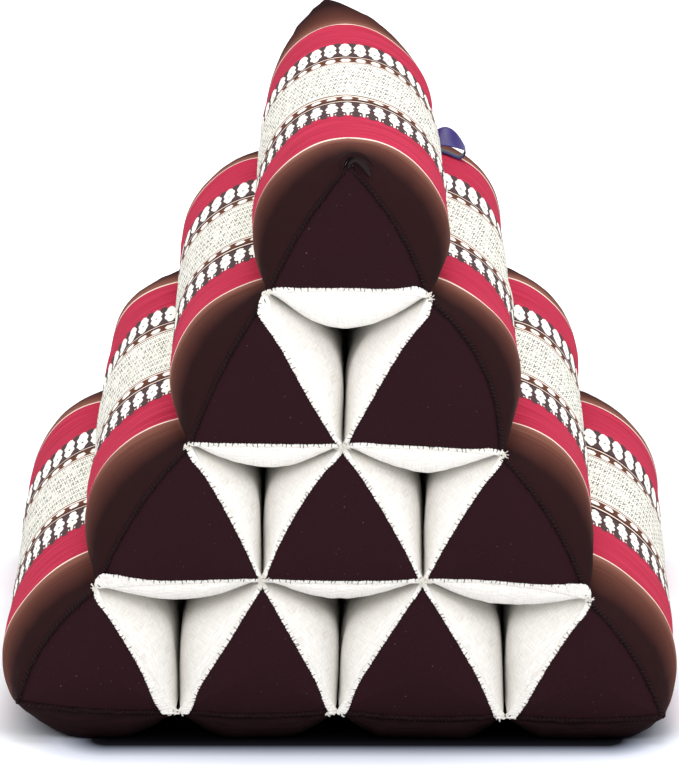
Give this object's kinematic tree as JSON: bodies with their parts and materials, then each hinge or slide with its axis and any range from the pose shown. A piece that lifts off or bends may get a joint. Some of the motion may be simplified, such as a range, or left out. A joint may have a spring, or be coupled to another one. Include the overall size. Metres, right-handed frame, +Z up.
{
  "type": "thai triangle cushion",
  "caption": "Triangular floor cushion made of stacked stuffed triangular tubes under a striped woven cover, with plain end caps, standing on its flat base",
  "frame": {"origin": "middle of the footprint, on the surface that the cushion stands on", "axes": "+Z up; the tubes run along Y, front ends toward -Y; +X to the right seen from the front"},
  "size_m": [0.4128, 0.5, 0.3731],
  "materials": {
    "cotton_white": "plain woven cotton, off-white, matte",
    "cap_brown": "plain woven cotton, dark maroon brown, matte",
    "cover_striped": "patterned woven cotton with brown, red and cream bands",
    "base_brown": "plain woven cotton, dark brown, matte",
    "label_ribbon": "satin ribbon, dark violet blue, bare"
  },
  "bodies": {
    "root": {"tube_1_1": "cotton_white", "tube_2_1": "cotton_white", "tube_2_2": "cotton_white", "tube_3_1": "cotton_white", "tube_3_2": "cotton_white", "tube_3_3": "cotton_white", "tube_4_1": "cotton_white", "tube_4_2": "cotton_white", "tube_4_3": "cotton_white", "tube_4_4": "cotton_white", "cap_front_1_1": "cap_brown", "cap_front_2_1": "cap_brown", "cap_front_2_2": "cap_brown", "cap_front_3_1": "cap_brown", "cap_front_3_2": "cap_brown", "cap_front_3_3": "cap_brown", "cap_front_4_1": "cap_brown", "cap_front_4_2": "cap_brown", "cap_front_4_3": "cap_brown", "cap_front_4_4": "cap_brown", "cap_back_1_1": "cap_brown", "cap_back_2_1": "cap_brown", "cap_back_2_2": "cap_brown", "cap_back_3_1": "cap_brown", "cap_back_3_2": "cap_brown", "cap_back_3_3": "cap_brown", "cap_back_4_1": "cap_brown", "cap_back_4_2": "cap_brown", "cap_back_4_3": "cap_brown", "cap_back_4_4": "cap_brown", "cover_slopes": "cover_striped", "cover_base_1": "base_brown", "cover_base_2": "base_brown", "cover_base_3": "base_brown", "cover_base_4": "base_brown", "label": "label_ribbon"}
  },
  "joints": []
}
